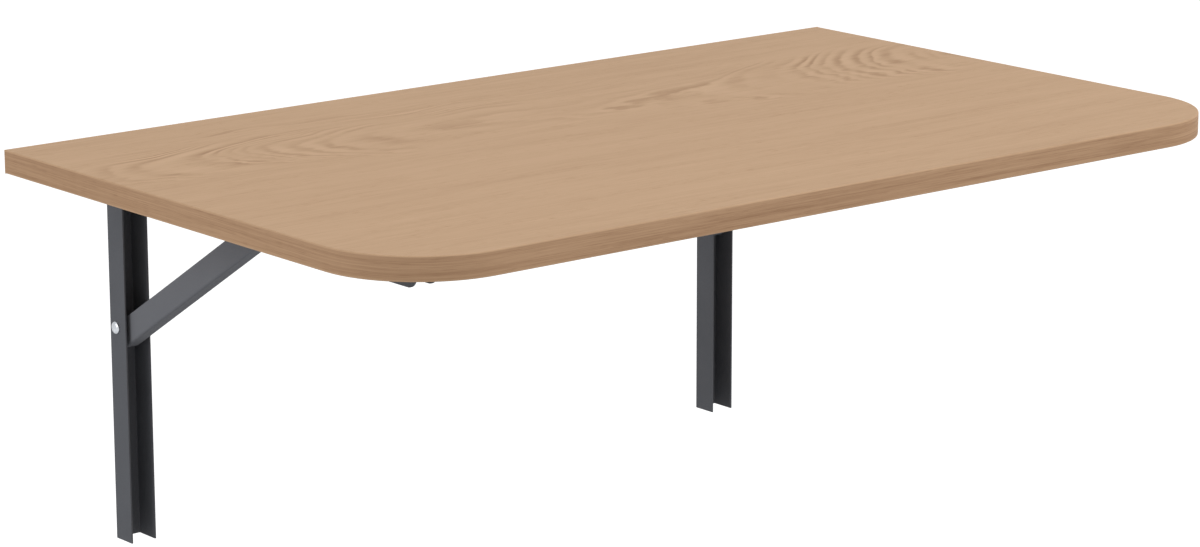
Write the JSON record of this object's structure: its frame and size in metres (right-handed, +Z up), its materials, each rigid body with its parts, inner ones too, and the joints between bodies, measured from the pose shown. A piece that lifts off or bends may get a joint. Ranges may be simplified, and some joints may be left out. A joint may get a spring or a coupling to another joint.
{
  "type": "wall mounted drop leaf table",
  "caption": "Wall mounted drop leaf table: a round-cornered oak-effect leaf on folding steel channel brackets, whose struts stand on pins in the wall rails.",
  "frame": {"origin": "middle of the four outer wall screw holes, on the wall plane", "axes": "+X along the wall to the right as seen from the room, +Y into the wall, +Z up"},
  "size_m": [1, 0.6225, 0.398],
  "materials": {
    "oak_laminate": "satin oak-effect laminate",
    "oak_band": "satin oak-effect edge band",
    "anthracite_coat": "anthracite powder coat",
    "zinc_steel": "bright zinc plate",
    "nylon": "natural nylon"
  },
  "bodies": {
    "wall_mount": {"wall_rail_left": "anthracite_coat", "hinge_pin_left": "zinc_steel", "catch_rivet_left": "zinc_steel", "hinge_washers_left": "nylon", "wall_rail_right": "anthracite_coat", "hinge_pin_right": "zinc_steel", "catch_rivet_right": "zinc_steel", "hinge_washers_right": "nylon"},
    "leaf": {"leaf_core": "oak_laminate", "edge_band_front": "oak_band", "edge_band_rear": "oak_band", "arm_channel_left": "anthracite_coat", "strut_pivot_pin_left": "zinc_steel", "strut_spacers_left": "nylon", "leaf_screws_left": "zinc_steel", "arm_channel_right": "anthracite_coat", "strut_pivot_pin_right": "zinc_steel", "strut_spacers_right": "nylon", "leaf_screws_right": "zinc_steel"},
    "strut_left": {"strut_channel_left": "anthracite_coat"},
    "strut_right": {"strut_channel_right": "anthracite_coat"}
  },
  "joints": [
    {"name": "leaf_fold", "type": "hinge", "parent": "wall_mount", "child": "leaf", "pos_m": [0, -0.014, 0.182], "axis": [1, 0, 0], "range_deg": [0, 90]},
    {"name": "strut_swing_left", "type": "hinge", "parent": "leaf", "child": "strut_left", "pos_m": [-0.365, -0.25826, 0.188], "axis": [1, 0, 0], "range_deg": [-148.4, 0]},
    {"name": "strut_swing_right", "type": "hinge", "parent": "leaf", "child": "strut_right", "pos_m": [0.365, -0.25826, 0.188], "axis": [1, 0, 0], "range_deg": [-148.4, 0]}
  ],
  "couplings": [
    {"joint": "strut_swing_left", "follows": "leaf_fold", "ratio": -1.6489},
    {"joint": "strut_swing_right", "follows": "leaf_fold", "ratio": -1.6489}
  ]
}
